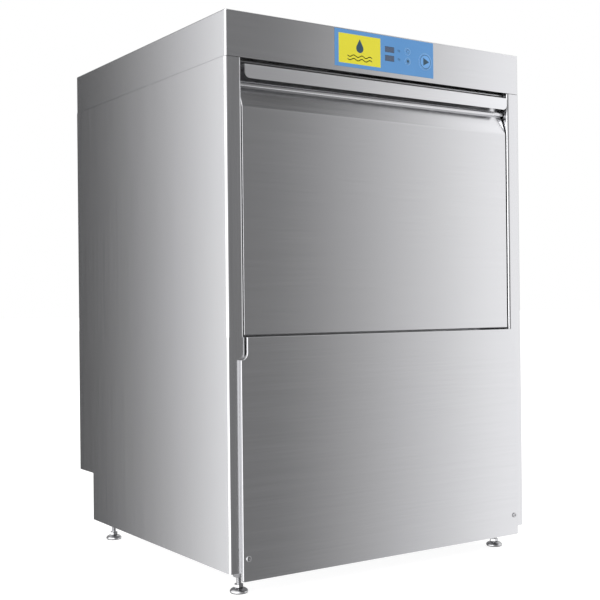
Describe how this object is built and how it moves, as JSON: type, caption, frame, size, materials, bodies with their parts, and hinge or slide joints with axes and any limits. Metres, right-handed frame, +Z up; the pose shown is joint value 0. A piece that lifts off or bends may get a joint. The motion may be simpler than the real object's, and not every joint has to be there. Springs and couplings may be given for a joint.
{
  "type": "commercial dishwasher",
  "caption": "Undercounter commercial dishwasher: stainless cabinet on levelling feet, drop-down door with a full-width lip handle, control panel in the top fascia, spray arms and pumps inside.",
  "frame": {"origin": "centre of the bounding box's base, on the floor under the feet", "axes": "-Y is the front with the door, +X is to the viewer's right seen from the front, +Z is up"},
  "size_m": [0.6, 0.5764, 0.871],
  "materials": {
    "stainless": "brushed stainless sheet",
    "overlay_film": "satin printed film",
    "key_grey": "satin moulded",
    "key_start_cap": "satin moulded",
    "circuit_board": "board with dark displays",
    "bright_steel": "turned and plated",
    "spring_steel": "drawn wire",
    "element_tube": "dull tube",
    "pump_plastic": "glass-filled moulding",
    "motor_paint": "semi-matt paint",
    "hose_rubber": "smooth moulded hose",
    "gasket_rubber": "extruded seal",
    "gland_plastic": "moulded",
    "box_plastic": "moulded box",
    "foot_plastic": "moulded, semi-gloss"
  },
  "bodies": {
    "cabinet": {"base_frame": "stainless", "boiler": "stainless", "boiler_element": "element_tube", "cable_gland": "gland_plastic", "connection_panel": "stainless", "control_board": "circuit_board", "control_overlay": "overlay_film", "door_gasket": "gasket_rubber", "dosing_pumps": "pump_plastic", "drain_hose": "hose_rubber", "drain_pump_body": "pump_plastic", "electrics_box": "box_plastic", "filter_basket": "stainless", "front_frame": "stainless", "hinge_brackets": "stainless", "hinge_pins": "bright_steel", "inlet_valve": "pump_plastic", "lower_front_panel": "stainless", "panel_screws": "bright_steel", "rack_rails": "stainless", "rear_panel": "stainless", "side_panel_left": "stainless", "side_panel_right": "stainless", "spindle_lower": "stainless", "spindle_upper": "stainless", "suction_hose": "hose_rubber", "tank": "stainless", "tank_element": "element_tube", "tank_strainers": "stainless", "top_cover": "stainless", "tub_ceiling": "stainless", "tub_rear": "stainless", "tub_sides": "stainless", "wash_pump_body": "pump_plastic", "wash_pump_motor": "motor_paint", "wash_riser": "stainless"},
    "door": {"door_skin": "stainless", "door_liner": "stainless", "handle_plate": "stainless", "hinge_arms": "stainless", "door_springs": "spring_steel"},
    "wash_arm_lower": {"wash_arm_lower": "stainless"},
    "wash_arm_upper": {"wash_arm_upper": "stainless"},
    "rinse_arm_lower": {"rinse_arm_lower": "stainless"},
    "rinse_arm_upper": {"rinse_arm_upper": "stainless"},
    "key_start": {"key_start": "key_start_cap"},
    "key_program": {"key_program": "key_grey"},
    "key_power": {"key_power": "key_grey"},
    "wash_pump_rotor": {"wash_pump_rotor": "pump_plastic"},
    "drain_pump_rotor": {"drain_pump_rotor": "pump_plastic"},
    "detergent_rotor": {"detergent_rotor": "pump_plastic"},
    "rinse_aid_rotor": {"rinse_aid_rotor": "pump_plastic"},
    "foot_pad_front_left": {"foot_pad_front_left": "foot_plastic"},
    "foot_pad_front_right": {"foot_pad_front_right": "foot_plastic"},
    "foot_pad_rear_left": {"foot_pad_rear_left": "foot_plastic"},
    "foot_pad_rear_right": {"foot_pad_rear_right": "foot_plastic"},
    "foot_spindle_front_left": {"foot_spindle_front_left": "bright_steel"},
    "foot_spindle_front_right": {"foot_spindle_front_right": "bright_steel"},
    "foot_spindle_rear_left": {"foot_spindle_rear_left": "bright_steel"},
    "foot_spindle_rear_right": {"foot_spindle_rear_right": "bright_steel"}
  },
  "joints": [
    {"name": "door_hinge", "type": "hinge", "parent": "cabinet", "child": "door", "pos_m": [0, -0.26475, 0.4015], "axis": [1, 0, 0], "range_deg": [0, 90], "stiffness_Nm_per_rad": 4.6, "springref_deg": -14.32},
    {"name": "wash_arm_lower_spin", "type": "hinge", "parent": "cabinet", "child": "wash_arm_lower", "pos_m": [0, 0.016, 0.396], "axis": [0, 0, 1], "continuous": true},
    {"name": "rinse_arm_lower_spin", "type": "hinge", "parent": "cabinet", "child": "rinse_arm_lower", "pos_m": [0, 0.016, 0.415], "axis": [0, 0, 1], "continuous": true},
    {"name": "wash_arm_upper_spin", "type": "hinge", "parent": "cabinet", "child": "wash_arm_upper", "pos_m": [0, 0.016, 0.759], "axis": [0, 0, 1], "continuous": true},
    {"name": "rinse_arm_upper_spin", "type": "hinge", "parent": "cabinet", "child": "rinse_arm_upper", "pos_m": [0, 0.016, 0.739], "axis": [0, 0, 1], "continuous": true},
    {"name": "key_start_press", "type": "slide", "parent": "cabinet", "child": "key_start", "axis": [0, 1, 0], "range_m": [0, 0.0008], "stiffness_N_per_m": 2500, "springref_m": -0.0003},
    {"name": "key_program_press", "type": "slide", "parent": "cabinet", "child": "key_program", "axis": [0, 1, 0], "range_m": [0, 0.0008], "stiffness_N_per_m": 2500, "springref_m": -0.0003},
    {"name": "key_power_press", "type": "slide", "parent": "cabinet", "child": "key_power", "axis": [0, 1, 0], "range_m": [0, 0.0008], "stiffness_N_per_m": 2500, "springref_m": -0.0003},
    {"name": "wash_pump_spin", "type": "hinge", "parent": "cabinet", "child": "wash_pump_rotor", "pos_m": [0, -0.029, 0.114], "axis": [1, 0, 0], "continuous": true},
    {"name": "drain_pump_spin", "type": "hinge", "parent": "cabinet", "child": "drain_pump_rotor", "pos_m": [-0.15, -0.07975, 0.084], "axis": [0, 1, 0], "continuous": true},
    {"name": "detergent_spin", "type": "hinge", "parent": "cabinet", "child": "detergent_rotor", "pos_m": [-0.235, -0.23375, 0.091], "axis": [0, 1, 0], "continuous": true},
    {"name": "rinse_aid_spin", "type": "hinge", "parent": "cabinet", "child": "rinse_aid_rotor", "pos_m": [-0.15, -0.23375, 0.091], "axis": [0, 1, 0], "continuous": true},
    {"name": "foot_front_left_travel", "type": "slide", "parent": "cabinet", "child": "foot_pad_front_left", "axis": [0, 0, -1], "range_m": [0, 0.012]},
    {"name": "foot_front_left_turn", "type": "hinge", "parent": "foot_pad_front_left", "child": "foot_spindle_front_left", "pos_m": [-0.264, -0.24325, 0.02], "axis": [0, 0, -1], "range_deg": [0, 3457]},
    {"name": "foot_front_right_travel", "type": "slide", "parent": "cabinet", "child": "foot_pad_front_right", "axis": [0, 0, -1], "range_m": [0, 0.012]},
    {"name": "foot_front_right_turn", "type": "hinge", "parent": "foot_pad_front_right", "child": "foot_spindle_front_right", "pos_m": [0.264, -0.24325, 0.02], "axis": [0, 0, -1], "range_deg": [0, 3457]},
    {"name": "foot_rear_left_travel", "type": "slide", "parent": "cabinet", "child": "foot_pad_rear_left", "axis": [0, 0, -1], "range_m": [0, 0.012]},
    {"name": "foot_rear_left_turn", "type": "hinge", "parent": "foot_pad_rear_left", "child": "foot_spindle_rear_left", "pos_m": [-0.264, 0.21525, 0.02], "axis": [0, 0, -1], "range_deg": [0, 3457]},
    {"name": "foot_rear_right_travel", "type": "slide", "parent": "cabinet", "child": "foot_pad_rear_right", "axis": [0, 0, -1], "range_m": [0, 0.012]},
    {"name": "foot_rear_right_turn", "type": "hinge", "parent": "foot_pad_rear_right", "child": "foot_spindle_rear_right", "pos_m": [0.264, 0.21525, 0.02], "axis": [0, 0, -1], "range_deg": [0, 3457]}
  ],
  "couplings": [
    {"joint": "foot_front_left_turn", "follows": "foot_front_left_travel", "rad_per_m": 5026.5},
    {"joint": "foot_front_right_turn", "follows": "foot_front_right_travel", "rad_per_m": 5026.5},
    {"joint": "foot_rear_left_turn", "follows": "foot_rear_left_travel", "rad_per_m": 5026.5},
    {"joint": "foot_rear_right_turn", "follows": "foot_rear_right_travel", "rad_per_m": 5026.5}
  ]
}
